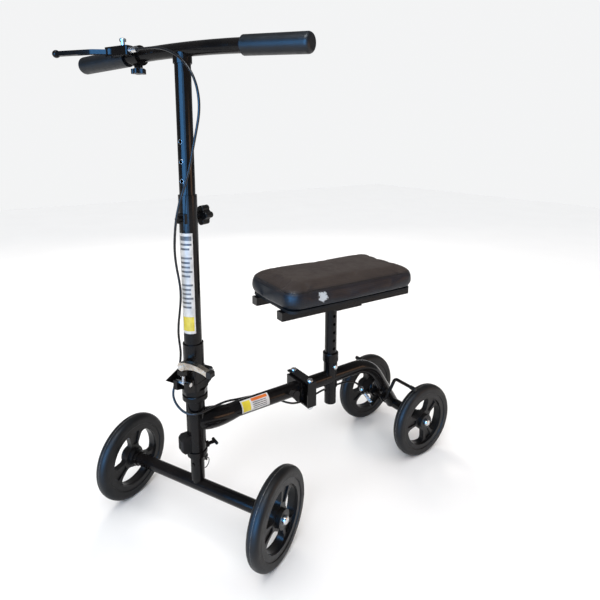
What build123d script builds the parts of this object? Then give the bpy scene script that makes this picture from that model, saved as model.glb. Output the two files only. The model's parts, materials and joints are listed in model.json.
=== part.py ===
from build123d import *
from math import cos, radians, sin, tan
import os

# Knee scooter. Millimetres, +Z up, the front of the scooter faces -Y and the rider's left is +X.
# Everything is laid out from the steering axis on the ground; the finished model is then moved so
# that the origin is under the middle of its bounding box. What steers is laid out straight ahead
# and turned to the parked angle at the end.

# ---- driving sizes ----
WHEEL_D = 200.0
TYRE_W = 29.0
HUB_W = 34.0
WHEELBASE = 608.0
FRONT_TRACK = 413.0
REAR_TRACK = 226.0
STEER = 27.0            # parked turn of the front assembly, degrees
AXLE_D = 10.0
CROSSBAR_D = 28.0
CROSSBAR_WALL = 2.5
SPACER_T = 3.0
BAR_D = 28.0            # handlebar tube
BAR_WALL = 2.0
BAR_HALF = 280.0
BAR_END_Z = 1023.7
BAR_SLOPE = 3.14        # droop of the straight ends, degrees
BAR_BEND_R = 2664.0
GRIP_D = 37.0
GRIP_L = 134.0
HEAD_WALL = 3.0
RACE_T = 2.5            # headset bearing, bore to outside
HEAD_BOTTOM = 180.0
HEAD_TOP = 308.0
STEERER_D = 30.0
STEERER_WALL = 3.0
CUP_LIP = 7.0
CUP_H = 14.0
MAIN_D = 36.0           # main frame tube
MAIN_WALL = 2.0
MAIN_Z = 248.0
ARCH_R = 100.0
ARCH_ANGLE = 57.0
COLUMN_WALL = 2.7
SLEEVE_WALL = 3.0
COLUMN_TOP = 753.0
UPPER_D = 32.0          # sliding upper steering tube
UPPER_WALL = 2.0
UPPER_BOTTOM = 612.0
CLAMP_Z = 706.0
HOLE_PITCH = 39.0
HOLE_D = 8.0
HOLE_TOP_Z = 859.0
HINGE_W = 44.0
HINGE_SPLIT_Z = 352.0   # top of the lower fold block
HINGE_GAP = 1.0
FOLD_Y = 25.0           # stem fold pivot
FOLD_Z = 364.0
FOLD_R = 11.0
LUG_HALF = 13.5
LATCH_Y = -34.0
BARREL_Z = 358.0
EYE_Z = 397.0
SEAT_Y = 375.0
SEAT_TURN = -2.5        # the seat is clamped slightly askew, degrees
POST_D = 31.0
POST_WALL = 2.5
POST_BOTTOM = 176.0
SEAT_TUBE_WALL = 2.2
SEAT_TUBE_TOP = 294.0
SEAT_TUBE_BOTTOM = 222.0
RAIL_Z = 461.0
RAIL_H = 20.0
RAIL_W = 24.0
RAIL_X = 62.0
PAD_W = 220.0
PAD_L = 394.0
PAD_Y = 380.0
PAD_TOP = 547.0
BOARD_T = 6.0
MID_PIVOT_X = -36.0     # frame fold, a vertical bolt on the rider's right
MID_PIVOT_Y = 283.0
CHANNEL_FRONT = 270.0
CHANNEL_BACK = 295.0
CHANNEL_HALF = 46.0
CHANNEL_BOTTOM = 213.0
CHANNEL_TOP = 277.0
PLATE_T = 4.0
FOLD_BOLT_D = 8.0       # the two bolts down through the channel
BRAKE_ROD = 9.0
CLAMP_BOLT_DROP = 12.0  # bolt on the side of the seat tube, below its top
POST_HOLE_Z = 330.0
POST_PITCH = 22.0
STEM_PIN_Z = 155.0
LOCK_Z = 188.0
CAM_R = 9.0
LEVER_L = 66.0          # cam lever, from its eye to its tip piece
CLAMP_X = -118.0        # brake lever clamp on the bar
PARK_X = -123.0
PARK_PIN_D = 8.0
ADJUSTER_X = -104.0
CABLE_D = 5.0
RUN = 0.05              # radial running clearance on pins and shafts
SLIDE = 0.3             # radial clearance where one tube slides in another

# ---- sizes and places that follow from them ----
HEAD_ID = STEERER_D + 2 * RACE_T
HEAD_OD = HEAD_ID + 2 * HEAD_WALL
CUP_D = HEAD_OD + 2 * CUP_LIP
COLUMN_ID = UPPER_D + 2 * SLIDE
COLUMN_D = COLUMN_ID + 2 * COLUMN_WALL
SLEEVE_D = COLUMN_D + 2 * SLEEVE_WALL
SEAT_TUBE_ID = POST_D + 2 * SLIDE
SEAT_TUBE_OD = SEAT_TUBE_ID + 2 * SEAT_TUBE_WALL
CLAMP_BOLT_Z = SEAT_TUBE_TOP - CLAMP_BOLT_DROP
AXLE_Z = WHEEL_D / 2
FRONT_HALF = FRONT_TRACK / 2
REAR_HALF = REAR_TRACK / 2
WEB_FACE = CHANNEL_BACK - PLATE_T
CUP_TOP = HEAD_TOP + CUP_H
NUT_TOP = CUP_TOP + 12.0
HEAD_BLOCK_Z = HINGE_SPLIT_Z + HINGE_GAP
BLOCK_TOP = 388.0
SLEEVE_TOP = 436.0
SOCKET_Z = 402.0
BAR_APEX_Z = BAR_END_Z + BAR_HALF * tan(radians(BAR_SLOPE))
BAR_TOP_Z = BAR_APEX_Z - BAR_BEND_R * (1 / cos(radians(BAR_SLOPE)) - 1)
PAD_BOTTOM = RAIL_Z + RAIL_H + BOARD_T + SLIDE
STUD_Y = CHANNEL_FRONT - 22.0
LATCH_X0 = 22.0
LATCH_X1 = 29.0
LEVER_Y = -33.0
LEVER_Z = BAR_END_Z + 14.3
LEVER_PIVOT_X = -158.0


# ---- shapes used throughout ----
def block(x0, x1, y0, y1, z0, z1):
    """A box between two corners."""
    middle = Pos((x0 + x1) / 2, (y0 + y1) / 2, (z0 + z1) / 2)
    return middle * Box(x1 - x0, y1 - y0, z1 - z0)


def rod(start, end, diameter):
    """A round bar between two points."""
    run = Vector(*end) - Vector(*start)
    plane = Plane(origin=start, z_dir=run)
    return extrude(plane * Circle(diameter / 2), amount=run.length)


def tube(start, end, outer, inner):
    """A round tube between two points, open at both ends."""
    return rod(start, end, outer) - rod(start, end, inner)


def round_bar(path, diameter):
    """A round bar along a smooth path."""
    return sweep(Plane(origin=path @ 0, z_dir=path % 0) * Circle(diameter / 2), path=path)


def side_plate(points, x0, x1):
    """A flat plate whose outline is given in Y and Z, between two X."""
    outline = Plane.YZ * make_face(Polyline(*points, close=True))
    return Pos(x0, 0, 0) * extrude(outline, amount=x1 - x0)


def domed_bolt(start, end, shank, head, dome):
    """A bolt whose domed head is at start and whose shank runs to end."""
    run = (Vector(*end) - Vector(*start)).normalized()
    top = Vector(*start) - run * dome
    cap = rod(tuple(top), start, head)
    rims = cap.edges().filter_by(GeomType.CIRCLE)
    cap = fillet(rims.sort_by(lambda edge: (edge.center() - top).length)[0], dome * 0.7)
    return cap + rod(start, end, shank)


def hexagon(start, end, across):
    """A hexagonal nut between two points."""
    run = Vector(*end) - Vector(*start)
    outline = RegularPolygon(across / 2, 6, major_radius=False)
    return extrude(Plane(origin=start, z_dir=run) * outline, amount=run.length)


def star_knob(diameter, thickness, lobes=5):
    """A lobed knob lying on the ground plane, its axis along Z."""
    outline = Circle(diameter * 0.36)
    for turn in range(lobes):
        outline += Rot(0, 0, turn * 360 / lobes) * Pos(diameter * 0.34, 0) * Circle(diameter * 0.16)
    outline = fillet(outline.vertices(), diameter * 0.06)
    body = extrude(outline, amount=thickness)
    return chamfer(body.edges().group_by(Axis.Z)[-1], 0.8)


def cable(points):
    """A cable tube of straight runs joined by arcs as large as the runs allow."""
    spots = [Vector(*p) for p in points]
    radii = []
    for before, here, after in zip(spots, spots[1:], spots[2:]):
        first = here - before
        second = after - here
        turn = radians(first.get_angle(second))
        radii.append(0.45 * min(first.length, second.length) / tan(turn / 2))
    path = FilletPolyline(*points, radius=radii)
    solid = round_bar(path, CABLE_D)
    ratio = solid.volume / (path.length * 3.14159265 * CABLE_D ** 2 / 4)
    print("cable length", round(path.length, 1), "smallest radius", round(min(radii), 1))
    print("cable volume ratio", round(ratio, 4))
    return solid


def steered(x, y, z):
    """A point of the steering assembly at its parked angle."""
    a = radians(STEER)
    return (x * cos(a) - y * sin(a), x * sin(a) + y * cos(a), z)


# ---- wheels ----
TYRE_DEPTH = 22.0
RIM_D = WHEEL_D - 2 * TYRE_DEPTH
RIM_W = 25.0
BEARING_D = 26.0
BEARING_W = 8.0
HUB_D = 40.0


def sector(r0, r1, half_angle, corner):
    """A ring sector centred on +X with rounded corners."""
    a = radians(half_angle)
    outer = ThreePointArc((r1 * cos(a), -r1 * sin(a)), (r1, 0), (r1 * cos(a), r1 * sin(a)))
    inner = ThreePointArc((r0 * cos(a), r0 * sin(a)), (r0, 0), (r0 * cos(a), -r0 * sin(a)))
    face = make_face(outer + Line(outer @ 1, inner @ 0) + inner + Line(inner @ 1, outer @ 0))
    return fillet(face.vertices(), corner)


def tyre():
    section = Pos(0, RIM_D / 2 + TYRE_DEPTH / 2) * Rectangle(TYRE_W, TYRE_DEPTH)
    section = fillet(section.vertices().group_by(Axis.Y)[-1], 11)
    section = fillet(section.vertices().group_by(Axis.Y)[0], 2)
    return revolve(section, axis=Axis.X)


def rim():
    """A moulded rim with three spokes, ribbed at their edges, and a hub bored for two bearings."""
    along_x = Rot(0, 90, 0)
    body = Cylinder(RIM_D / 2, RIM_W) - Cylinder(RIM_D / 2 - 12, RIM_W)
    body += Cylinder(RIM_D / 2 - 11, 15)
    for turn in range(3):
        opening = extrude(sector(25, RIM_D / 2 - 13, 41, 13), amount=RIM_W, both=True)
        body -= Rot(0, 0, 30 + turn * 120) * opening
        pocket = extrude(sector(30, RIM_D / 2 - 17, 10.5, 2.5), amount=4)
        body -= Rot(0, 0, 90 + turn * 120) * Pos(0, 0, 4) * pocket
        body -= Rot(0, 0, 90 + turn * 120) * Pos(0, 0, -8) * pocket
    body += Cylinder(HUB_D / 2, HUB_W)
    body -= Cylinder(AXLE_D / 2 + 2, HUB_W)
    for end in (-1, 1):
        body -= Pos(0, 0, end * (HUB_W - BEARING_W) / 2) * Cylinder(BEARING_D / 2, BEARING_W)
    return along_x * body


def wheel_bearings():
    ring = Cylinder(BEARING_D / 2, BEARING_W) - Cylinder(AXLE_D / 2 + RUN, BEARING_W)
    return [Rot(0, 90, 0) * Pos(0, 0, end * (HUB_W - BEARING_W) / 2) * ring for end in (-1, 1)]


def axle_bolt(half_track, side, y):
    """The domed bolt that holds one wheel to the end of its crossbar."""
    outer = half_track + HUB_W / 2 + 0.5
    inner = half_track - HUB_W / 2 - SPACER_T - 22
    return domed_bolt((side * outer, y, AXLE_Z), (side * inner, y, AXLE_Z), AXLE_D, 18, 7)


def crossbar(half_track, y):
    """The outside of an axle crossbar with its end collars, and the bore inside it."""
    half = half_track - HUB_W / 2 - 0.5
    outside = rod((-half, y, AXLE_Z), (half, y, AXLE_Z), CROSSBAR_D)
    for side in (-1, 1):
        collar = rod((side * (half - 9), y, AXLE_Z), (side * (half - SPACER_T), y, AXLE_Z), CROSSBAR_D + 6)
        outside += collar
    inside = rod((20 - half, y, AXLE_Z), (half - 20, y, AXLE_Z), CROSSBAR_D - 2 * CROSSBAR_WALL)
    inside += rod((-half, y, AXLE_Z), (half, y, AXLE_Z), AXLE_D)
    return outside, inside


# ---- front frame ----
def head_frame():
    """Head tube, main tube flared to meet it, and the lug of the frame fold, welded into one."""
    head = rod((0, 0, HEAD_BOTTOM), (0, 0, HEAD_TOP), HEAD_OD)
    lip = rod((0, 0, HEAD_BOTTOM), (0, 0, HEAD_BOTTOM + 7), HEAD_OD + 5)
    outside = head + lip + rod((0, 10, MAIN_Z), (0, 268, MAIN_Z), MAIN_D)
    flare = []
    for y, rise, radius in ((0, 6, HEAD_OD / 2 - 0.5), (18, 4, MAIN_D / 2 + 6),
                            (55, -1, MAIN_D / 2 + 5), (106, 0, MAIN_D / 2 - 1)):
        flare.append(Plane(origin=(0, y, MAIN_Z + rise), z_dir=(0, 1, 0)) * Circle(radius))
    outside += loft(flare)
    outside += rod((0, 15, LOCK_Z), (0, 27, LOCK_Z), 14)
    low = CHANNEL_BOTTOM + PLATE_T + 1
    high = CHANNEL_TOP - PLATE_T - 1
    lug = block(MID_PIVOT_X, 20, 262, WEB_FACE - 4, low, high)
    round_d = 2 * (WEB_FACE - MID_PIVOT_Y) - 1
    lug += rod((MID_PIVOT_X, MID_PIVOT_Y, low), (MID_PIVOT_X, MID_PIVOT_Y, high), round_d)
    outside += lug
    outside += rod((MAIN_D / 2 - 3, STUD_Y, MAIN_Z), (LATCH_X1, STUD_Y, MAIN_Z), 9)
    inside = rod((0, 0, HEAD_BOTTOM), (0, 0, HEAD_TOP), HEAD_ID)
    inside += rod((0, 10, MAIN_Z), (0, 258, MAIN_Z), MAIN_D - 2 * MAIN_WALL)
    inside += rod((0, 15, LOCK_Z), (0, 27, LOCK_Z), 8 + 2 * RUN)
    inside += rod((MID_PIVOT_X, MID_PIVOT_Y, low), (MID_PIVOT_X, MID_PIVOT_Y, high), FOLD_BOLT_D + 2 * RUN)
    return outside - inside


def headset_cups():
    lower = rod((0, 0, HEAD_BOTTOM - 6), (0, 0, HEAD_BOTTOM), HEAD_OD + 2)
    upper = rod((0, 0, HEAD_TOP), (0, 0, CUP_TOP), CUP_D)
    upper = fillet(upper.edges().filter_by(GeomType.CIRCLE), 3)
    bore = rod((0, 0, HEAD_BOTTOM - 10), (0, 0, CUP_TOP + 10), STEERER_D + 1)
    return [lower - bore, upper - bore]


def headset_bearings():
    rings = []
    for z in (HEAD_BOTTOM + 1, HEAD_TOP - 10):
        rings.append(tube((0, 0, z), (0, 0, z + 9), HEAD_ID - 2 * RUN, STEERER_D + 2 * RUN))
    return rings


def lock_block():
    """The moulded housing at the foot of the head tube."""
    body = block(-12, 12, -HEAD_OD / 2 - 18, 0, 190, 228)
    body = chamfer(body.edges().filter_by(Axis.X).group_by(Axis.Y)[0], 7)
    body = fillet(body.edges().filter_by(Axis.Z).group_by(Axis.Y)[0], 4)
    return body - rod((0, 0, 180), (0, 0, 240), HEAD_OD + 2 * RUN)


def lock_pin():
    """The pull pin at the back of the head tube with its cross handle."""
    pin = rod((0, HEAD_ID / 2 + 0.5, LOCK_Z), (0, 42, LOCK_Z), 8)
    handle = rod((-12, 43, LOCK_Z), (12, 43, LOCK_Z), 7)
    handle = fillet(handle.edges().filter_by(GeomType.CIRCLE), 2)
    return pin + handle


def channel_bolt(x):
    """A bolt down through the channel at one X: the pivot of the frame fold, or its catch."""
    y = MID_PIVOT_Y
    bolt = domed_bolt((x, y, CHANNEL_TOP), (x, y, CHANNEL_BOTTOM - 10), FOLD_BOLT_D, 15, 5)
    return bolt + hexagon((x, y, CHANNEL_BOTTOM - 7), (x, y, CHANNEL_BOTTOM), 13)


def frame_latch():
    """The side lever of the frame fold: it turns on a stud just in front of the channel."""
    boss = rod((LATCH_X0, STUD_Y, MAIN_Z), (LATCH_X1, STUD_Y, MAIN_Z), 20)
    outline = [(STUD_Y - 16, MAIN_Z + 18), (STUD_Y - 22, MAIN_Z + 10), (STUD_Y - 6, MAIN_Z - 9),
               (STUD_Y + 2, MAIN_Z - 19), (STUD_Y + 9, MAIN_Z - 14), (STUD_Y + 7, MAIN_Z + 8)]
    arm = side_plate(outline, LATCH_X0 + 1, LATCH_X1 - 1)
    return boss + arm - rod((LATCH_X0 - 1, STUD_Y, MAIN_Z), (LATCH_X1 + 1, STUD_Y, MAIN_Z), 9 + 2 * RUN)


# ---- rear frame ----
def rear_path(start_y, end_y):
    """The centre line of the rear tube: level, then down over the arch to the crossbar."""
    fall = MAIN_Z - AXLE_Z
    corner_y = WHEELBASE - fall / tan(radians(ARCH_ANGLE))
    drop = (end_y - corner_y) * tan(radians(ARCH_ANGLE))
    corners = ((0, start_y, MAIN_Z), (0, corner_y, MAIN_Z), (0, end_y, MAIN_Z - drop))
    return FilletPolyline(*corners, radius=ARCH_R)


def arch_point(back, off):
    """A point beside the falling rear tube: back along it from the crossbar, off to its underside."""
    a = radians(ARCH_ANGLE)
    y = WHEELBASE - back * cos(a) - off * sin(a)
    z = AXLE_Z + back * sin(a) - off * cos(a)
    return y, z


BRAKE_Y, BRAKE_Z = arch_point(65, 27)
ANCHOR_Y = WHEELBASE - 118.0
ANCHOR_Z = MAIN_Z - MAIN_D / 2 - 58.0
WIRE_ANGLE = 54.8       # fall of the brake wire, degrees
WIRE_Y = cos(radians(WIRE_ANGLE))
WIRE_Z = -sin(radians(WIRE_ANGLE))
EYE_BACK = 64.0         # from the cable anchor to the brake arm's eye
ARM_Y = ANCHOR_Y + EYE_BACK * WIRE_Y
ARM_Z = ANCHOR_Z + EYE_BACK * WIRE_Z
TIP_Y = WHEELBASE - 36.0
BRAKE_GAP = 2.0
TIP_D = 11.0
TIP_Z = AXLE_Z + ((WHEEL_D / 2 + BRAKE_GAP + TIP_D / 2) ** 2 - (WHEELBASE - TIP_Y) ** 2) ** 0.5


def wire_point(along):
    """A point of the brake wire's line, measured from the anchor tab."""
    return (0, ANCHOR_Y + along * WIRE_Y, ANCHOR_Z + along * WIRE_Z)


def rear_frame():
    """Channel, arched tube, seat tube, brake lugs and rear crossbar, welded into one."""
    bore_d = MAIN_D - 2 * MAIN_WALL
    outside = round_bar(rear_path(CHANNEL_BACK - 1, WHEELBASE), MAIN_D)
    bar_out, bar_in = crossbar(REAR_HALF, WHEELBASE)
    outside += bar_out
    outside += rod((0, SEAT_Y, SEAT_TUBE_BOTTOM), (0, SEAT_Y, SEAT_TUBE_TOP), SEAT_TUBE_OD)
    channel = block(-CHANNEL_HALF, CHANNEL_HALF, CHANNEL_FRONT, CHANNEL_BACK, CHANNEL_BOTTOM, CHANNEL_TOP)
    low = CHANNEL_BOTTOM + PLATE_T
    high = CHANNEL_TOP - PLATE_T
    hollow = block(-CHANNEL_HALF, CHANNEL_HALF - PLATE_T, CHANNEL_FRONT, WEB_FACE, low, high)
    outside += channel - hollow
    lugs = [arch_point(54, 0), arch_point(76, 0), arch_point(76, 34), arch_point(54, 34)]
    for side in (-1, 1):
        outside += Pos(side * (MAIN_D / 2 + 1), 0, 0) * side_plate(lugs, -2, 2)
    tab = []
    for along, across in ((-2, -9), (2, -9), (2, 44), (-2, 44)):
        y = ANCHOR_Y + along * WIRE_Y - across * WIRE_Z
        z = ANCHOR_Z + along * WIRE_Z + across * WIRE_Y
        tab.append((y, z))
    outside += side_plate(tab, -10, 10)
    inside = bar_in
    inside += round_bar(rear_path(SEAT_Y + SEAT_TUBE_OD / 2 + 1, WHEELBASE - 16), bore_d)
    vent_y, vent_z = arch_point(34, 0)
    inside += rod((0, vent_y, vent_z), (0, WHEELBASE, AXLE_Z), 8)
    inside += rod((0, WEB_FACE, MAIN_Z), (0, SEAT_Y - SEAT_TUBE_OD / 2 - 1, MAIN_Z), bore_d)
    inside += rod((0, SEAT_Y, SEAT_TUBE_BOTTOM - 20), (0, SEAT_Y, SEAT_TUBE_TOP), SEAT_TUBE_ID)
    inside += rod((10, SEAT_Y, CLAMP_BOLT_Z), (SEAT_TUBE_OD / 2 + 2, SEAT_Y, CLAMP_BOLT_Z), 8)
    inside += rod(wire_point(-3), wire_point(3), 8)
    inside += rod((-25, BRAKE_Y, BRAKE_Z), (25, BRAKE_Y, BRAKE_Z), BRAKE_ROD + 2 * RUN)
    for x in (MID_PIVOT_X, -MID_PIVOT_X):
        inside += rod((x, MID_PIVOT_Y, CHANNEL_BOTTOM), (x, MID_PIVOT_Y, low), FOLD_BOLT_D + 2 * RUN)
        inside += rod((x, MID_PIVOT_Y, high), (x, MID_PIVOT_Y, CHANNEL_TOP), FOLD_BOLT_D + 2 * RUN)
    return outside - inside


def seat_collar():
    """The split collar that guides the seat post."""
    top = SEAT_TUBE_TOP + 23
    ring = rod((0, SEAT_Y, SEAT_TUBE_TOP), (0, SEAT_Y, top), SEAT_TUBE_OD + 5)
    ring = fillet(ring.edges().filter_by(GeomType.CIRCLE).sort_by(Axis.Z)[-1], 2)
    ring -= rod((0, SEAT_Y, SEAT_TUBE_TOP), (0, SEAT_Y, top), SEAT_TUBE_ID)
    return ring - block(-1.5, 1.5, SEAT_Y, SEAT_Y + 30, SEAT_TUBE_TOP, top)


def seat_clamp_bolt():
    face = SEAT_TUBE_OD / 2 + 1
    return domed_bolt((face, SEAT_Y, CLAMP_BOLT_Z), (SEAT_TUBE_ID / 2 + 0.1, SEAT_Y, CLAMP_BOLT_Z), 8, 13, 6)


def cable_anchor():
    """The threaded barrel that ends the cable's housing, with a nut on each side of its tab."""
    barrel = rod(wire_point(-14), wire_point(11), 8) - rod(wire_point(-15), wire_point(12), 2.6)
    nuts = hexagon(wire_point(-8), wire_point(-2), 13) + hexagon(wire_point(2), wire_point(8), 13)
    nuts -= rod(wire_point(-9), wire_point(9), 7)
    return barrel + nuts


def brake_spring():
    """The return spring's outline and the bare wire that runs down through it to the brake arm."""
    coil = tube(wire_point(11.3), wire_point(EYE_BACK - 9), 10, 6)
    wire = rod(wire_point(-13), wire_point(EYE_BACK - 3.4), 2)
    return [coil, wire]


def brake_bar():
    """The bent rod that turns in the frame's lugs and presses on both rear tyres."""
    reach = REAR_HALF + 5
    points = [(-reach, TIP_Y, TIP_Z), (-44, TIP_Y, TIP_Z), (-31, BRAKE_Y, BRAKE_Z),
              (31, BRAKE_Y, BRAKE_Z), (44, TIP_Y, TIP_Z), (reach, TIP_Y, TIP_Z)]
    body = round_bar(FilletPolyline(*points, radius=[11, 8, 8, 11]), BRAKE_ROD)
    arm = [(BRAKE_Y + 4, BRAKE_Z - 4), (BRAKE_Y - 4, BRAKE_Z + 4),
           (ARM_Y - 4, ARM_Z + 3), (ARM_Y + 3, ARM_Z - 5)]
    body += side_plate(arm, -3, 3)
    body += rod((-3, ARM_Y, ARM_Z), (3, ARM_Y, ARM_Z), 11)
    body -= rod(wire_point(EYE_BACK - 8), wire_point(EYE_BACK), 2.6)
    return body - rod((-4, ARM_Y, ARM_Z), (4, ARM_Y, ARM_Z), 5)


def brake_tips():
    """The hard caps on the ends of the brake bar, over the tyres."""
    caps = []
    for side in (-1, 1):
        inner = (side * (REAR_HALF - 12), TIP_Y, TIP_Z)
        cap = rod(inner, (side * (REAR_HALF + 7), TIP_Y, TIP_Z), TIP_D)
        cap = fillet(cap.edges().filter_by(GeomType.CIRCLE), 1.5)
        caps.append(cap - rod(inner, (side * (REAR_HALF + 5), TIP_Y, TIP_Z), BRAKE_ROD + 2 * RUN))
    return caps


# ---- seat ----
def seat_post():
    """Post, cross plate and the two rails under the pad, welded into one."""
    plate_z = RAIL_Z - PLATE_T
    outside = rod((0, SEAT_Y, POST_BOTTOM), (0, SEAT_Y, plate_z), POST_D)
    outside += block(-RAIL_X - 12, RAIL_X + 12, SEAT_Y - 40, SEAT_Y + 40, plate_z, RAIL_Z)
    bore = rod((0, SEAT_Y, POST_BOTTOM), (0, SEAT_Y, plate_z), POST_D - 2 * POST_WALL)
    for step in range(6):
        z = POST_HOLE_Z + step * POST_PITCH
        bore += rod((0, SEAT_Y, z), (POST_D, SEAT_Y, z), HOLE_D)
    for side in (-1, 1):
        x0 = side * RAIL_X - RAIL_W / 2
        x1 = side * RAIL_X + RAIL_W / 2
        y0 = PAD_Y - PAD_L / 2 + 4
        y1 = PAD_Y + PAD_L / 2 - 4
        outside += block(x0, x1, y0, y1, RAIL_Z, RAIL_Z + RAIL_H)
        bore += block(x0 + 2, x1 - 2, y0 + 2, y1 - 2, RAIL_Z, RAIL_Z + RAIL_H - 2)
    return outside - bore


def pad_outline(inset, corner):
    return RectangleRounded(PAD_W - 2 * inset, PAD_L - 2 * inset, corner)


def seat_board():
    return Pos(0, PAD_Y, RAIL_Z + RAIL_H) * extrude(pad_outline(14, 20), amount=BOARD_T)


def knee_pad():
    """The foam pad, plain: its cover is finished elsewhere."""
    body = Pos(0, PAD_Y, PAD_BOTTOM) * extrude(pad_outline(0, 26), amount=PAD_TOP - PAD_BOTTOM)
    return fillet(body.edges().group_by(Axis.Z)[-1], 9)


# ---- steering, laid out straight ahead ----
def front_axle_frame():
    """The front crossbar with the post that goes up into the steerer."""
    outside, inside = crossbar(FRONT_HALF, 0)
    outside += rod((0, 0, AXLE_Z), (0, 0, 190), STEERER_D - 2 * STEERER_WALL - 2 * RUN)
    inside += rod((0, 0, AXLE_Z), (0, 0, 190), 18)
    inside += rod((0, -20, STEM_PIN_Z), (0, 20, STEM_PIN_Z), 8 + 2 * RUN)
    return outside - inside


def steerer_tube():
    low = AXLE_Z + CROSSBAR_D / 2 + 0.5
    body = tube((0, 0, low), (0, 0, HINGE_SPLIT_Z - 2), STEERER_D, STEERER_D - 2 * STEERER_WALL)
    return body - rod((0, -20, STEM_PIN_Z), (0, 20, STEM_PIN_Z), 8 + 2 * RUN)


def stem_pin():
    """The pull pin through the steerer, with the wire ring it is pulled by."""
    pin = rod((0, -STEERER_D / 2 - 2, STEM_PIN_Z), (0, STEERER_D / 2 + 1, STEM_PIN_Z), 8)
    head = rod((0, STEERER_D / 2 + 1, STEM_PIN_Z), (0, STEERER_D / 2 + 14, STEM_PIN_Z), 15)
    head = fillet(head.edges().filter_by(GeomType.CIRCLE), 3)
    ring_y = STEERER_D / 2 + 13
    hole_z = STEM_PIN_Z - 10.3
    ear = block(-4, 4, ring_y - 2, ring_y + 1, hole_z - 3, STEM_PIN_Z)
    ear -= rod((0, ring_y - 3, hole_z), (0, ring_y + 2, hole_z), 2.8)
    ring = Pos(0, ring_y, hole_z - 11) * Rot(0, 90, 0) * Torus(11, 1)
    return [pin + head + ear, ring]


def headset_locknut():
    outline = RegularPolygon(25, 8, major_radius=False)
    ring = Pos(0, 0, CUP_TOP + 0.5) * extrude(outline, amount=NUT_TOP - CUP_TOP - 0.5)
    return ring - rod((0, 0, CUP_TOP), (0, 0, NUT_TOP), STEERER_D + 2 * RUN)


def hinge_base():
    """The lower fold block: rear cheeks for the pivot, front cradle for the latch, cable plate."""
    half = HINGE_W / 2
    body = block(-half, half, -half, half, NUT_TOP, HINGE_SPLIT_Z)
    body = fillet(body.edges().filter_by(Axis.Z), 5)
    cheek = [(14, NUT_TOP + 2), (FOLD_Y + FOLD_R, NUT_TOP + 12), (FOLD_Y + FOLD_R, FOLD_Z), (14, FOLD_Z)]
    cradle = [(-half + 2, NUT_TOP + 2), (-44, NUT_TOP + 10), (-44, BARREL_Z + 6), (-24.5, BARREL_Z + 6),
              (-24.5, HINGE_SPLIT_Z), (-half + 2, HINGE_SPLIT_Z)]
    for side in (-1, 1):
        inner, outer = sorted((side * (LUG_HALF + 0.5), side * half))
        body += side_plate(cheek, inner, outer)
        body += rod((inner, FOLD_Y, FOLD_Z), (outer, FOLD_Y, FOLD_Z), 2 * FOLD_R)
        inner, outer = sorted((side * 9.5, side * 19.5))
        body += side_plate(cradle, inner, outer)
    body -= rod((-30, LATCH_Y, BARREL_Z), (30, LATCH_Y, BARREL_Z), 11)
    body -= block(-20, 20, LATCH_Y - 5.5, LATCH_Y + 5.5, BARREL_Z, BARREL_Z + 10)
    body += block(-30, -half + 1, -22, -14, NUT_TOP + 6, HINGE_SPLIT_Z)
    body += side_plate([(-14, 378), (-14, 343), (-24, 343), (-56, 366)], -30, -27)
    body -= rod((0, 0, NUT_TOP), (0, 0, HINGE_SPLIT_Z - 2), STEERER_D + 2 * RUN)
    return body - rod((-40, FOLD_Y, FOLD_Z), (40, FOLD_Y, FOLD_Z), 8)


def hinge_pivot_bolt():
    half = HINGE_W / 2
    bolt = domed_bolt((-half, FOLD_Y, FOLD_Z), (half + 9, FOLD_Y, FOLD_Z), 8, 14, 5)
    return bolt + hexagon((half, FOLD_Y, FOLD_Z), (half + 7, FOLD_Y, FOLD_Z), 13)


def hinge_head():
    """The upper fold block with the socket that takes the column."""
    half = HINGE_W / 2
    body = block(-half, half, -half, 12, HEAD_BLOCK_Z, BLOCK_TOP)
    body = fillet(body.edges().filter_by(Axis.Z), 5)
    body += rod((0, 0, BLOCK_TOP - 4), (0, 0, SLEEVE_TOP), SLEEVE_D)
    body += block(-LUG_HALF, LUG_HALF, 0, FOLD_Y, FOLD_Z - FOLD_R, FOLD_Z + FOLD_R)
    body += rod((-LUG_HALF, FOLD_Y, FOLD_Z), (LUG_HALF, FOLD_Y, FOLD_Z), 2 * FOLD_R)
    lug_top = EYE_Z - CAM_R - SLIDE
    body += block(-9, 9, -42, -half + 2, lug_top - 10, lug_top)
    body -= rod((0, LATCH_Y, lug_top - 12), (0, LATCH_Y, lug_top + 2), 8.4)
    body -= rod((0, 0, FOLD_Z + 2), (0, 0, SOCKET_Z), STEERER_D)
    body -= rod((0, 0, SOCKET_Z), (0, 0, SLEEVE_TOP), COLUMN_D + 2 * RUN)
    return body - rod((-20, FOLD_Y, FOLD_Z), (20, FOLD_Y, FOLD_Z), 8 + 2 * RUN)


def swing_bolt():
    """The latch bolt: a cross barrel below, an eye with its cam pin above."""
    bolt = rod((0, LATCH_Y, BARREL_Z), (0, LATCH_Y, EYE_Z), 8)
    bolt += rod((-19.5, LATCH_Y, BARREL_Z), (19.5, LATCH_Y, BARREL_Z), 9)
    bolt += rod((0, LATCH_Y - 4, EYE_Z), (0, LATCH_Y + 4, EYE_Z), 12)
    return bolt + rod((0, LATCH_Y - 7.5, EYE_Z), (0, LATCH_Y + 7.5, EYE_Z), 6)


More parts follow.
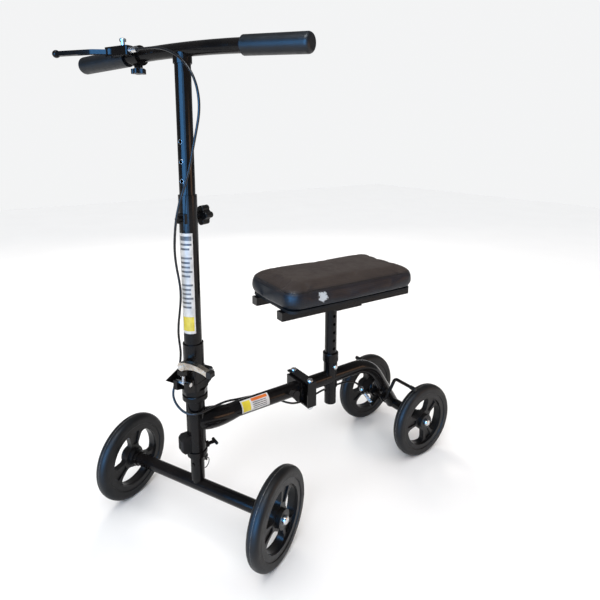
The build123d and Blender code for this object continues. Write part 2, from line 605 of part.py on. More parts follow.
def cam_lever():
    """The cast cam lever, closed across the front of the fold block."""
    top = ThreePointArc((0, EYE_Z + CAM_R), (34, EYE_Z + 10.5), (LEVER_L, EYE_Z + 3))
    bottom = ThreePointArc((LEVER_L, EYE_Z - 8), (34, EYE_Z - 1), (6, EYE_Z - CAM_R + 2))
    side = make_face(top + Line(top @ 1, bottom @ 0) + bottom + Line(bottom @ 1, top @ 0))
    arm = Pos(0, LATCH_Y - 6, 0) * Rot(90, 0, 0) * extrude(side, amount=-12)
    body = arm + rod((0, LATCH_Y - 7, EYE_Z), (0, LATCH_Y + 7, EYE_Z), 2 * CAM_R)
    body -= block(-12, 7, LATCH_Y - 4.3, LATCH_Y + 4.3, EYE_Z - 12, EYE_Z + 7)
    return body - rod((0, LATCH_Y - 8, EYE_Z), (0, LATCH_Y + 8, EYE_Z), 6 + 2 * RUN)


def cam_lever_tip():
    tip = block(LEVER_L, LEVER_L + 12, LATCH_Y - 7, LATCH_Y + 7, EYE_Z - 9, EYE_Z + 4)
    return fillet(tip.edges().filter_by(Axis.Y), 3)


def column_tube():
    body = rod((0, 0, SOCKET_Z), (0, 0, COLUMN_TOP), COLUMN_D)
    body += rod((0, 8, CLAMP_Z), (0, COLUMN_D / 2 + 8, CLAMP_Z), 18)
    body -= rod((0, 0, SOCKET_Z), (0, 0, COLUMN_TOP), COLUMN_ID)
    return body - rod((0, 8, CLAMP_Z), (0, COLUMN_D / 2 + 9, CLAMP_Z), 8 + 2 * RUN)


def clamp_saddle():
    """The saddle and bolt head on the front of the column, opposite the knob."""
    front = COLUMN_D / 2 + 5
    saddle = block(-11, 11, -front, -8, CLAMP_Z - 10, CLAMP_Z + 10)
    saddle = fillet(saddle.edges().filter_by(Axis.Z).group_by(Axis.Y)[0], 4)
    saddle -= rod((0, 0, CLAMP_Z - 12), (0, 0, CLAMP_Z + 12), COLUMN_D + 2 * RUN)
    return saddle + rod((0, -front - 9, CLAMP_Z), (0, 2 - front, CLAMP_Z), 13)


def height_knob():
    """The star knob that clamps the sliding upper tube."""
    screw = rod((0, UPPER_D / 2 + 0.5, CLAMP_Z), (0, COLUMN_D / 2 + 15, CLAMP_Z), 8)
    screw += rod((0, COLUMN_D / 2 + 9, CLAMP_Z), (0, COLUMN_D / 2 + 15, CLAMP_Z), 14)
    return screw + Pos(0, COLUMN_D / 2 + 35, CLAMP_Z) * Rot(90, 0, 0) * star_knob(43, 22)


def bar_point(x):
    """A point on the curved middle of the handlebar's centre line."""
    return (x, 0, BAR_TOP_Z - x * x / (2 * BAR_BEND_R))


def handlebar():
    """Upper steering tube and handlebar, welded into one."""
    ends = ((-BAR_HALF, 0, BAR_END_Z), (0, 0, BAR_APEX_Z), (BAR_HALF, 0, BAR_END_Z))
    path = FilletPolyline(*ends, radius=BAR_BEND_R)
    outside = round_bar(path, BAR_D)
    outside += rod((0, 0, UPPER_BOTTOM), (0, 0, BAR_TOP_Z - 6), UPPER_D)
    outside += rod((0, 0, BAR_TOP_Z - 26), (0, 0, BAR_TOP_Z - 10), UPPER_D + 5)
    inside = round_bar(path, BAR_D - 2 * BAR_WALL)
    inside += rod((0, 0, UPPER_BOTTOM), (0, 0, BAR_TOP_Z - BAR_D / 2 - 2), UPPER_D - 2 * UPPER_WALL)
    for step in range(6):
        z = HOLE_TOP_Z - step * HOLE_PITCH
        inside += rod((0, -UPPER_D / 2 - 2, z), (0, 0, z), HOLE_D)
    return outside - inside


def grip(side):
    a = radians(BAR_SLOPE)
    inner = (side * (BAR_HALF - GRIP_L * cos(a)), 0, BAR_END_Z + GRIP_L * sin(a))
    outer = (side * (BAR_HALF + 4 * cos(a)), 0, BAR_END_Z - 4 * sin(a))
    body = rod(inner, outer, GRIP_D)
    ends = body.edges().filter_by(GeomType.CIRCLE).sort_by(Axis.X)
    body = fillet(ends[-1 if side > 0 else 0], 8)
    return body - rod(inner, (side * BAR_HALF, 0, BAR_END_Z), BAR_D)


def lever_bracket():
    """The brake lever's bracket: a clamp round the bar, and a fork for the lever with its pin."""
    ring = rod(bar_point(CLAMP_X - 10), bar_point(CLAMP_X + 10), BAR_D + 12)
    ring += block(CLAMP_X - 6, CLAMP_X + 6, -6, 6, BAR_TOP_Z - 26, BAR_TOP_Z - 18)
    fork = block(LEVER_PIVOT_X - 10, ADJUSTER_X, LEVER_Y - 9, LEVER_Y + 9, LEVER_Z - 9, LEVER_Z + 9)
    fork = fillet(fork.edges().filter_by(Axis.Z), 4)
    fork += block(CLAMP_X - 9, CLAMP_X + 9, LEVER_Y, -12, LEVER_Z - 9, LEVER_Z + 6)
    body = ring + fork - rod(bar_point(CLAMP_X - 14), bar_point(CLAMP_X + 14), BAR_D + 0.3)
    body -= block(LEVER_PIVOT_X - 12, LEVER_PIVOT_X + 12,
                  LEVER_Y - 12, LEVER_Y + 12, LEVER_Z - 5.8, LEVER_Z + 5.8)
    body -= rod((LEVER_PIVOT_X, LEVER_Y, LEVER_Z - 10), (LEVER_PIVOT_X, LEVER_Y, LEVER_Z + 10), 6)
    body -= rod((PARK_X, LEVER_Y, LEVER_Z - 2), (PARK_X, LEVER_Y, LEVER_Z + 10), PARK_PIN_D + 2 * RUN)
    body -= rod((CLAMP_X, 0, BAR_TOP_Z - 30), (CLAMP_X, 0, BAR_TOP_Z - 14), 5 + 2 * RUN)
    pin = rod((LEVER_PIVOT_X, LEVER_Y, LEVER_Z - 10), (LEVER_PIVOT_X, LEVER_Y, LEVER_Z + 10), 6)
    return [body, pin]


def brake_lever():
    """The two-finger brake lever with its ball end."""
    low = LEVER_Z - 5.5
    path = FilletPolyline((-163, -37), (-186, -53), (-224, -62), (-270, -72), radius=24)
    blade = Pos(0, 0, low + 1) * extrude(trace(path, line_width=13), amount=9)
    body = blade + rod((LEVER_PIVOT_X, LEVER_Y, low), (LEVER_PIVOT_X, LEVER_Y, low + 11), 22)
    body += Pos(-274, -73, LEVER_Z) * Sphere(8)
    return body - rod((LEVER_PIVOT_X, LEVER_Y, low - 1), (LEVER_PIVOT_X, LEVER_Y, low + 12), 6 + 2 * RUN)


def parking_pin():
    """The small push pin that holds the lever on for parking."""
    pin = rod((PARK_X, LEVER_Y, LEVER_Z + 3.5), (PARK_X, LEVER_Y, LEVER_Z + 20), PARK_PIN_D)
    head = rod((PARK_X, LEVER_Y, LEVER_Z + 18), (PARK_X, LEVER_Y, LEVER_Z + 24), 13)
    return pin + fillet(head.edges().filter_by(GeomType.CIRCLE).sort_by(Axis.Z)[-1], 2.5)


def cable_adjuster():
    """The knurled barrel that sets the cable's length."""
    start = ADJUSTER_X + 0.3
    barrel = rod((start, LEVER_Y, LEVER_Z), (start + 4, LEVER_Y, LEVER_Z), 13)
    barrel += rod((start + 4, LEVER_Y, LEVER_Z), (start + 6, LEVER_Y, LEVER_Z), 8)
    barrel += rod((start + 6, LEVER_Y, LEVER_Z), (start + 18, LEVER_Y, LEVER_Z), 11)
    return barrel - rod((start, LEVER_Y, LEVER_Z), (start + 18, LEVER_Y, LEVER_Z), CABLE_D + 2 * SLIDE)


def bar_knob():
    """The small star knob under the bar that clamps the lever's bracket."""
    screw = rod((CLAMP_X, 0, BAR_TOP_Z - 36), (CLAMP_X, 0, BAR_TOP_Z - 17.5), 5)
    return screw + Pos(CLAMP_X, 0, BAR_TOP_Z - 38) * star_knob(31, 10)


# ---- brake cable, one run cut where it crosses what moves ----
STEERED_ROUTE = [
    (ADJUSTER_X + 5, LEVER_Y, LEVER_Z), (ADJUSTER_X + 32, LEVER_Y, LEVER_Z), (-33, -36, LEVER_Z - 1),
    (0, -37, 1029), (28, -38, 1014), (50, -39, 993),
    (64, -39, 968), (70, -38.5, 940), (69, -38, 912), (62, -38, 884), (52, -38, 850), (42, -38, 813),
    (30, -39.5, 778), (17, -42.5, 745), (7, -44, 708), (0, -42, 675), (-7, -37, 640), (-8, -32, 606),
    (-4, -29, 575), (-3, -28, 545), (-8, -28, 512), (-15, -26, 482), (-22, -20, 455), (-26, -13, 430),
    (-29.4, -7, 408.6), (-32, -7.5, 386), (-34.5, -13, 364), (-36, -21, 343)]
FRAME_ROUTE = [
    (-20, -43, 322), (-13, -41, 304), (-2, -34, 291), (12, -25.5, 284.5),
    (23.5, -11.5, 283), (25, 6, 284), (19, 24, 283.5), (9, 42, 281), (-1, 62, 277), (-8, 84, 272.5),
    (-15, 107, 267), (-21, 132, 259.5), (-23, 160, 251), (-23, 188, 241), (-21.5, 213, 229),
    (-18.5, 236, 214), (-16, 258, 201.5), (-15, 278, 196), (-15.5, 300, 195), (-17, 322, 197),
    (-21, 344, 198), (-24.5, 368, 199.5), (-21, 392, 203), (-13.5, 416, 208), (-6, 439, 211),
    (-1.5, 458, 206.5), (0, 472.7, 196.5), wire_point(-14)]
CABLE_SPLITS = {        # each piece between two Z and two Y
    "cable_upper": (430, 1100, -200, 200), "cable_hinge": (343, 430, -200, 200),
    "cable_steering": (150, 343, -200, 84), "cable_frame": (150, 343, 84, 258),
    "cable_fold": (150, 343, 258, 322), "cable_rear": (150, 343, 322, 600)}


def cable_pieces():
    whole_cable = cable([steered(*point) for point in STEERED_ROUTE] + FRAME_ROUTE)
    return {name: whole_cable & block(-300, 300, y0, y1, z0, z1)
            for name, (z0, z1, y0, y1) in CABLE_SPLITS.items()}


# ---- assembly ----
nodes = {
    "head_frame": head_frame(), "headset_cups": headset_cups(), "headset_bearings": headset_bearings(),
    "lock_block": lock_block(), "lock_pin": lock_pin(), "frame_pivot_bolt": channel_bolt(MID_PIVOT_X),
    "frame_latch": frame_latch(), "catch_bolt": channel_bolt(-MID_PIVOT_X), "rear_frame": rear_frame(),
    "rear_axle_bolts": [axle_bolt(REAR_HALF, side, WHEELBASE) for side in (-1, 1)],
    "seat_collar": seat_collar(), "seat_clamp_bolt": seat_clamp_bolt(), "cable_anchor": cable_anchor(),
    "brake_spring": brake_spring(), "brake_bar": brake_bar(), "brake_tips": brake_tips()}
seat_nodes = {"seat_post": seat_post(), "seat_board": seat_board(), "knee_pad": knee_pad()}
for name, shape in seat_nodes.items():
    nodes[name] = Pos(0, SEAT_Y, 0) * Rot(0, 0, SEAT_TURN) * Pos(0, -SEAT_Y, 0) * shape
nodes.update(cable_pieces())

steering_nodes = {
    "front_axle_frame": front_axle_frame(), "steerer_tube": steerer_tube(), "stem_pin": stem_pin(),
    "front_axle_bolts": [axle_bolt(FRONT_HALF, side, 0) for side in (-1, 1)],
    "headset_locknut": headset_locknut(), "hinge_base": hinge_base(), "hinge_pivot_bolt": hinge_pivot_bolt(),
    "hinge_head": hinge_head(), "swing_bolt": swing_bolt(), "cam_lever": cam_lever(),
    "cam_lever_tip": cam_lever_tip(), "column_tube": column_tube(), "clamp_saddle": clamp_saddle(),
    "height_knob": height_knob(), "handlebar": handlebar(), "grip_left": grip(1), "grip_right": grip(-1),
    "lever_bracket": lever_bracket(), "brake_lever": brake_lever(), "parking_pin": parking_pin(),
    "cable_adjuster": cable_adjuster(), "bar_knob": bar_knob()}

WHEEL_PLACES = {        # X, Y and how far the wheel has rolled forward, degrees
    "front_left": (FRONT_HALF, 0, 56), "front_right": (-FRONT_HALF, 0, 37),
    "rear_left": (REAR_HALF, WHEELBASE, 68), "rear_right": (-REAR_HALF, WHEELBASE, 40)}
for place, (x, y, roll) in WHEEL_PLACES.items():
    target = steering_nodes if place.startswith("front") else nodes
    spot = Pos(x, y, AXLE_Z)
    target["tyre_" + place] = spot * tyre()
    target["rim_" + place] = spot * Rot(-roll, 0, 0) * rim()
    target["bearings_" + place] = [spot * ring for ring in wheel_bearings()]


def pieces(shape):
    return shape if isinstance(shape, list) else [shape]


for name, shape in steering_nodes.items():
    nodes[name] = [Rot(0, 0, STEER) * piece for piece in pieces(shape)]

whole = Compound(children=[Compound(solid.wrapped) for shape in nodes.values() for piece in pieces(shape)
                           for solid in piece.solids()])
limits = whole.bounding_box()
SHIFT = (-(limits.min.X + limits.max.X) / 2, -(limits.min.Y + limits.max.Y) / 2, -limits.min.Z)
print("moved by", SHIFT, "size", limits.size)

os.makedirs("parts", exist_ok=True)
for name, shape in nodes.items():
    solids = [solid for piece in pieces(shape) for solid in piece.solids()]
    moved = Pos(*SHIFT) * Compound(children=solids)
    export_step(moved, "parts/" + name + ".step")
print(len(nodes), "nodes")
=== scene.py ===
"""Knee scooter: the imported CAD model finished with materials, a cloth knee pad, cables and stickers."""
import json
import math
import bpy
from mathutils import Matrix, Vector


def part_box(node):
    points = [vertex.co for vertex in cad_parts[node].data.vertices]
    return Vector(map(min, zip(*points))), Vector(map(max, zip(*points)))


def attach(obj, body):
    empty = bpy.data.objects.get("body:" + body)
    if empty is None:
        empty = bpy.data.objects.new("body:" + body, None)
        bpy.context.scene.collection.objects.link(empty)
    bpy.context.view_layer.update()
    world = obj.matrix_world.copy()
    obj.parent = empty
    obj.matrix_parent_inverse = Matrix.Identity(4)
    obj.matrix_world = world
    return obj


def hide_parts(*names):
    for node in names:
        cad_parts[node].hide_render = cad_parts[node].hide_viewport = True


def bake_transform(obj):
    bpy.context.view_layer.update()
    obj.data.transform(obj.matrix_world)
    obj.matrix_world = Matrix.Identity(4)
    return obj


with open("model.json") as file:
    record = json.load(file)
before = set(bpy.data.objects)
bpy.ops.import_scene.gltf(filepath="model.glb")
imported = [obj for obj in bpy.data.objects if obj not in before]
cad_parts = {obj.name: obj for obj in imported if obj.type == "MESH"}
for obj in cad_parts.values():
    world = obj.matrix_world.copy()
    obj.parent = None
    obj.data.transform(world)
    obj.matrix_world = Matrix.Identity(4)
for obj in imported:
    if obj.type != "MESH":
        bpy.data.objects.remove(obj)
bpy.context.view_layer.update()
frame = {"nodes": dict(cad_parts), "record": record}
joints = {joint["name"]: joint for joint in frame["record"]["behaviour"]["joints"]}
head = Vector((joints["steering"]["pos_m"][0], joints["steering"]["pos_m"][1], 0))
turned_x = Vector(joints["wheel_front_left"]["axis"])
turned_y = Vector((-turned_x.y, turned_x.x, 0))


def at(x, y, z):
    """A point given in millimetres from the foot of the steering axis."""
    return head + Vector((x, y, z)) / 1000


def turned(x, y, z):
    """The same, in the parked direction of the front assembly."""
    return head + (turned_x * x + turned_y * y + Vector((0, 0, z))) / 1000


# ---- camera ----
camera = bpy.data.objects.new("camera", bpy.data.cameras.new("camera"))
bpy.context.collection.objects.link(camera)
bpy.context.scene.camera = camera
yaw, pitch = math.radians(-55.34), math.radians(9.42)
look = Vector((math.sin(yaw) * math.cos(pitch), math.cos(yaw) * math.cos(pitch), -math.sin(pitch)))
camera.location = at(936.5, -369.6, 864.3)
camera.rotation_euler = look.to_track_quat("-Z", "Y").to_euler()
camera.data.sensor_width = 36
camera.data.lens = 29.1
camera.data.shift_y = -0.134
camera.data.clip_start = 0.01
bpy.context.scene.view_settings.view_transform = "Standard"


# ---- helpers ----
def mesh_object(name, verts, faces, smooth=True):
    mesh = bpy.data.meshes.new(name)
    mesh.from_pydata([tuple(v) for v in verts], [], faces)
    mesh.update()
    if smooth:
        mesh.shade_smooth()
    piece = bpy.data.objects.new(name, mesh)
    bpy.context.collection.objects.link(piece)
    return piece


def finish_piece(piece, material, body=None):
    piece.data.materials.clear()
    piece.data.materials.append(material)
    if body:
        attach(piece, body)
    return piece


def rings_mesh(name, rings, closed=False):
    """A skin over rings of equally many points."""
    count = len(rings[0])
    verts = [v for ring in rings for v in ring]
    faces = []
    turns = len(rings) if closed else len(rings) - 1
    for i in range(turns):
        a, b = i * count, (i + 1) % len(rings) * count
        for k in range(count):
            n = (k + 1) % count
            faces.append((a + k, a + n, b + n, b + k))
    if not closed:
        faces.append(tuple(reversed(range(count))))
        faces.append(tuple(range(len(verts) - count, len(verts))))
    return mesh_object(name, verts, faces)


def tube_piece(name, points, radius, sides=12, closed=False):
    """A round tube along points, with its rings carried along without twisting."""
    count = len(points)
    tangents = []
    for i in range(count):
        before = points[i - 1] if i or closed else points[0]
        after = points[(i + 1) % count] if i < count - 1 or closed else points[-1]
        tangents.append((after - before).normalized())
    across = tangents[0].orthogonal().normalized()
    rings = []
    for point, tangent in zip(points, tangents):
        across = (across - tangent * across.dot(tangent)).normalized()
        up = tangent.cross(across)
        rings.append([point + (across * math.cos(t) + up * math.sin(t)) * radius
                      for t in (2 * math.pi * k / sides for k in range(sides))])
    return rings_mesh(name, rings, closed)


def arc_patch(name, origin, along, zero, radius, a0, a1, s0, s1):
    """A patch wrapped round a tube: angles from zero about along, lengths s0 to s1 along it."""
    side = along.cross(zero)
    verts = []
    cols = 14
    for s in (s0, s1):
        for k in range(cols):
            a = a0 + (a1 - a0) * k / (cols - 1)
            verts.append(origin + along * s + (zero * math.cos(a) + side * math.sin(a)) * radius)
    faces = [(k, k + 1, cols + k + 1, cols + k) for k in range(cols - 1)]
    return mesh_object(name, verts, faces)


# ---- materials ----
def wire(tree, source, target):
    tree.links.new(source, target)


def new_material(name):
    material = bpy.data.materials.new(name)
    material.use_nodes = True
    tree = material.node_tree
    shader = tree.nodes["Principled BSDF"]
    place = tree.nodes.new("ShaderNodeTexCoord").outputs["Object"]
    return material, tree, shader, place


def noise_node(tree, place, scale, detail=4, rough=0.55):
    node = tree.nodes.new("ShaderNodeTexNoise")
    node.inputs["Scale"].default_value = scale
    node.inputs["Detail"].default_value = detail
    node.inputs["Roughness"].default_value = rough
    wire(tree, place, node.inputs["Vector"])
    return node.outputs["Fac"]


def ranged(tree, value, low, high, to_low, to_high):
    node = tree.nodes.new("ShaderNodeMapRange")
    for socket, number in zip(("From Min", "From Max", "To Min", "To Max"), (low, high, to_low, to_high)):
        node.inputs[socket].default_value = number
    wire(tree, value, node.inputs["Value"])
    return node.outputs["Result"]


def mixed(tree, factor, first, second):
    node = tree.nodes.new("ShaderNodeMix")
    node.data_type = "RGBA"
    wire(tree, factor, node.inputs["Factor"])
    for socket, value in ((node.inputs[6], first), (node.inputs[7], second)):
        if isinstance(value, tuple):
            socket.default_value = (*value, 1)
        else:
            wire(tree, value, socket)
    return node.outputs[2]


def bumped(tree, shader, heights):
    """Adds up (height, strength, distance) bumps, one over the other."""
    normal = None
    for height, strength, distance in heights:
        node = tree.nodes.new("ShaderNodeBump")
        node.inputs["Strength"].default_value = strength
        node.inputs["Distance"].default_value = distance
        wire(tree, height, node.inputs["Height"])
        if normal:
            wire(tree, normal, node.inputs["Normal"])
        normal = node.outputs["Normal"]
    wire(tree, normal, shader.inputs["Normal"])


def finish(name, dark, light, rough, scale=25, metal=0.0, bump=(400, 0.1, 0.0004), specks=None, gloss=0.5):
    """A surface with uneven colour and gloss, fine bump, and specks of wear or dust."""
    material, tree, shader, place = new_material(name)
    blotch = ranged(tree, noise_node(tree, place, scale), 0.35, 0.65, 0, 1)
    colour = mixed(tree, blotch, dark, light)
    if specks:
        tint, size, threshold = specks
        spots = noise_node(tree, place, size, 8, 0.75)
        colour = mixed(tree, ranged(tree, spots, threshold, threshold + 0.03, 0, 1), colour, tint)
    wire(tree, colour, shader.inputs["Base Color"])
    sheen = noise_node(tree, place, scale * 2.3, 6)
    wire(tree, ranged(tree, sheen, 0.3, 0.7, *rough), shader.inputs["Roughness"])
    shader.inputs["Metallic"].default_value = metal
    shader.inputs["Specular IOR Level"].default_value = gloss
    bumped(tree, shader, [(noise_node(tree, place, bump[0]), bump[1], bump[2])])
    return material


SURFACES = {
    "frame_paint": finish("paint", (0.003, 0.003, 0.0035), (0.008, 0.007, 0.007), (0.13, 0.22), 14,
                          bump=(170, 0.10, 0.0005), specks=((0.13, 0.11, 0.1), 55, 0.715), gloss=0.18),
    "steel": finish("zinc", (0.42, 0.42, 0.42), (0.7, 0.69, 0.67), (0.2, 0.36), 60, 1.0, (900, 0.1, 0.0002),
                    specks=((0.12, 0.11, 0.1), 150, 0.69)),
    "dark_steel": finish("dark_steel", (0.03, 0.03, 0.03), (0.07, 0.07, 0.07), (0.3, 0.45), 60, 1.0),
    # the warm tan tint on this grey aluminium is a painted reflection of a warm floor
    "cast_lever": finish("cast_aluminium_warm_reflection", (0.34, 0.28, 0.22), (0.6, 0.53, 0.44), (0.2, 0.4), 80, 1.0,
                         (500, 0.35, 0.0005), specks=((0.1, 0.09, 0.08), 140, 0.66)),
    "black_plastic": finish("plastic", (0.004, 0.004, 0.004), (0.011, 0.010, 0.010), (0.3, 0.42), 30,
                            bump=(1400, 0.18, 0.0003), specks=((0.07, 0.06, 0.055), 70, 0.73), gloss=0.25),
    "tyre": finish("tyre_rubber", (0.005, 0.005, 0.005), (0.012, 0.0115, 0.011), (0.4, 0.56), 18,
                   bump=(900, 0.3, 0.0004), specks=((0.1, 0.09, 0.08), 90, 0.7), gloss=0.25),
    # the slight blue in this black is a painted reflection of the blue window light
    "grip_rubber": finish("grip_foam_blue_reflection", (0.003, 0.004, 0.005), (0.006, 0.007, 0.009), (0.36, 0.5), 40,
                          bump=(1800, 0.25, 0.0003), gloss=0.35),
    "board": finish("board", (0.006, 0.006, 0.005), (0.01, 0.009, 0.008), (0.6, 0.75), 30,
                    bump=(500, 0.3, 0.0005), gloss=0.2),
    "cable_housing": finish("cable_plastic", (0.005, 0.005, 0.006), (0.01, 0.01, 0.011), (0.25, 0.35), 40,
                            bump=(600, 0.1, 0.0002), gloss=0.3),
}
STICKER = finish("sticker_white", (0.5, 0.51, 0.52), (0.72, 0.72, 0.72), (0.3, 0.45), 50,
                 specks=((0.25, 0.23, 0.2), 160, 0.66))
STICKER_GREY = finish("sticker_grey", (0.06, 0.06, 0.06), (0.15, 0.15, 0.15), (0.4, 0.5), 90)
STICKER_YELLOW = finish("sticker_yellow", (0.62, 0.5, 0.02), (0.75, 0.62, 0.04), (0.4, 0.5), 60)
STICKER_ORANGE = finish("sticker_orange", (0.62, 0.13, 0.015), (0.72, 0.19, 0.03), (0.4, 0.5), 60)
TREAD_LINE = finish("tread_line", (0.02, 0.02, 0.02), (0.2, 0.19, 0.18), (0.6, 0.7), 260)

node_slot = {part["node"]: part["material_slot"] for part in frame["record"]["subparts"]}
for node, cad in frame["nodes"].items():
    if node_slot[node] in SURFACES:
        for material_slot in cad.material_slots:
            material_slot.material = SURFACES[node_slot[node]]

# ---- moulding line round each tyre, and bare edges of the height holes ----
TREAD_RADIUS = 0.09985      # just inside the tyre's 0.1, so that the line's outer half shows
EDGE_RADIUS = 4.25          # round an 8 mm hole, millimetres
UPPER_TUBE_SKIN = 15.95     # just inside the upper tube's 16 mm radius
TOP_HOLE, HOLE_PITCH = 859, 39
up = Vector((0, 0, 1))


def circle_angles(count):
    return [2 * math.pi * k / count for k in range(count)]


for place in ("front_left", "front_right", "rear_left", "rear_right"):
    joint = joints["wheel_" + place]
    hub = Vector(joint["pos_m"])
    level = Vector(joint["axis"]).cross(up)
    circle = [hub + (level * math.cos(t) + up * math.sin(t)) * TREAD_RADIUS for t in circle_angles(120)]
    ring = tube_piece("tyre_line_" + place, circle, 0.0005, 6, True)
    finish_piece(ring, TREAD_LINE, "wheel_" + place)
for row in range(3):
    circle = []
    for t in circle_angles(24):
        across = EDGE_RADIUS * math.cos(t)
        height = TOP_HOLE - HOLE_PITCH * row + EDGE_RADIUS * math.sin(t)
        circle.append(turned(across, -math.sqrt(UPPER_TUBE_SKIN ** 2 - across ** 2), height))
    ring = tube_piece("hole_edge_%d" % row, circle, 0.0003, 6, True)
    finish_piece(ring, SURFACES["steel"], "handlebar")

# ---- cable ----
STEERED_ROUTE = [
    (-99, -33, 1038), (-72, -33, 1038), (-33, -36, 1037), (0, -37, 1029), (28, -38, 1014), (50, -39, 993),
    (64, -39, 968), (70, -38.5, 940), (69, -38, 912), (62, -38, 884), (52, -38, 850), (42, -38, 813),
    (30, -39.5, 778), (17, -42.5, 745), (7, -44, 708), (0, -42, 675), (-7, -37, 640), (-8, -32, 606),
    (-4, -29, 575), (-3, -28, 545), (-8, -28, 512), (-15, -26, 482), (-22, -20, 455), (-26, -13, 430),
    (-29.4, -7, 408.6), (-32, -7.5, 386), (-34.5, -13, 364), (-36, -21, 343)]
FRAME_ROUTE = [
    (-20, -43, 322), (-13, -41, 304), (-2, -34, 291), (12, -25.5, 284.5),
    (23.5, -11.5, 283), (25, 6, 284), (19, 24, 282.5), (9, 42, 278.5), (-1, 62, 274), (-9.5, 84, 269),
    (-17, 107, 261), (-22.5, 132, 255), (-23, 160, 251), (-23, 188, 241), (-21.5, 213, 229),
    (-18.5, 236, 214), (-16, 258, 201.5), (-15, 278, 196), (-15.5, 300, 195), (-17, 322, 197),
    (-21, 344, 198), (-24.5, 368, 199.5), (-21, 392, 203), (-13.5, 416, 208), (-6, 439, 211),
    (-1.5, 458, 206.5), (0, 472.7, 196.5), (0, 481.9, 183.4)]


def spline_points(route):
    """Points along the smooth spline whose control points are the route."""
    curve = bpy.data.curves.new("route", "CURVE")
    curve.dimensions = "3D"
    spline = curve.splines.new("NURBS")
    spline.points.add(len(route) - 1)
    for point, spot in zip(spline.points, route):
        point.co = (*spot, 1)
    spline.order_u = 3
    spline.use_endpoint_u = True
    curve.resolution_u = 8
    holder = bpy.data.objects.new("route", curve)
    bpy.context.collection.objects.link(holder)
    mesh = bpy.data.meshes.new_from_object(holder)
    points = [v.co.copy() for v in mesh.vertices]
    bpy.data.objects.remove(holder)
    bpy.data.meshes.remove(mesh)
    return points


def stretch_of(point):
    """The name of the cable piece that a point of the route belongs to."""
    height, back = point.z * 1000, (point.y - head.y) * 1000
    if height > 343:
        return "cable_upper" if height > 430 else "cable_hinge"
    for limit, name in ((84, "cable_steering"), (258, "cable_frame"), (322, "cable_fold")):
        if back < limit:
            return name
    return "cable_rear"


line = spline_points([turned(*p) for p in STEERED_ROUTE] + [at(*p) for p in FRAME_ROUTE])
CABLES = {
    "cable_upper": ("column", "handlebar", turned(-7, -37, 640), turned(64, -39, 968)),
    "cable_hinge": ("column", "steering", turned(-26, -13, 430), turned(-36, -21, 343)),
    "cable_steering": ("steering", "frame_front", at(-20, -43, 322), at(-8, 84, 272)),
    "cable_frame": ("frame_front",),
    "cable_fold": ("frame_front", "frame_rear", at(-16, 258, 201), at(-17, 322, 197)),
    "cable_rear": ("frame_rear",)}
for name, rule in CABLES.items():
    chosen = [i for i, point in enumerate(line) if stretch_of(point) == name]
    points = line[max(0, chosen[0] - 1):chosen[-1] + 2]
    piece = tube_piece(name + "_housing", points, 0.0025)
    finish_piece(piece, SURFACES["cable_housing"], rule[0] if len(rule) == 1 else None)
    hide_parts(name)
    if len(rule) > 1:
        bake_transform(piece)

# ---- brake return spring ----
WIRE_FALL = math.radians(54.8)
SPRING_START, SPRING_END = 0.0122, 0.0541       # from the cable's anchor, down the wire
SPRING_RADIUS, SPRING_WIRE, TURNS, STEPS = 0.0042, 0.0008, 11, 12
anchor = Vector((0, head.y + 0.490, 0.172))
fall = Vector((0, math.cos(WIRE_FALL), -math.sin(WIRE_FALL)))
side = Vector((1, 0, 0))
out = fall.cross(side)
coil = []
for i in range(TURNS * STEPS + 1):
    t = 2 * math.pi * i / STEPS
    along = SPRING_START + (SPRING_END - SPRING_START) * i / (TURNS * STEPS)
    coil.append(anchor + fall * along + (side * math.cos(t) + out * math.sin(t)) * SPRING_RADIUS)
spring = tube_piece("return_spring_coil", coil, SPRING_WIRE, 6)
finish_piece(spring, SURFACES["steel"], "frame_rear")
bare = tube_piece("brake_wire", [anchor + fall * s for s in (-0.013, 0.01, 0.03, 0.05, 0.0606)], 0.0009, 8)
finish_piece(bare, SURFACES["steel"], "frame_rear")
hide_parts("brake_spring")


# ---- knee pad ----
PAD_TURN = math.radians(-2.5)
PAD_CORNER = 0.026
PAD_SWELL = 0.0045          # most that the cloth may move a point
PAD_CROWN = 0.002           # most that the crown stands over the CAD pad


def pad_size():
    """Middle of the pad's underside and its half sizes, from the box round the pad as it is turned."""
    low, high = (Vector(corner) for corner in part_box("knee_pad"))
    cos, sin = math.cos(PAD_TURN), abs(math.sin(PAD_TURN))
    spare = 2 * PAD_CORNER * (cos + sin - 1)
    wide, deep = high.x - low.x + spare, high.y - low.y + spare
    scale = 2 * (cos * cos - sin * sin)
    middle = Vector(((low.x + high.x) / 2, (low.y + high.y) / 2, low.z))
    return middle, (wide * cos - deep * sin) / scale, (deep * cos - wide * sin) / scale, high.z - low.z


def rounded_ring(half_x, half_y, corner, z, steps=8):
    ring = []
    for quarter, (sx, sy) in enumerate(((1, 1), (-1, 1), (-1, -1), (1, -1))):
        for k in range(steps + 1):
            a = math.pi / 2 * (quarter + k / steps)
            ring.append(Vector((sx * (half_x - corner) + corner * math.cos(a),
                                sy * (half_y - corner) + corner * math.sin(a), z)))
    return ring


def perimeter(x, y, half_x, half_y):
    """Length round the pad's outline, near enough to lay rows of holes by."""
    if abs(x) / half_x > abs(y) / half_y:
        return (y if x > 0 else 2 * half_y + 2 * half_x + y)
    return (half_y + half_x - x if y > 0 else -half_y - half_x + x)


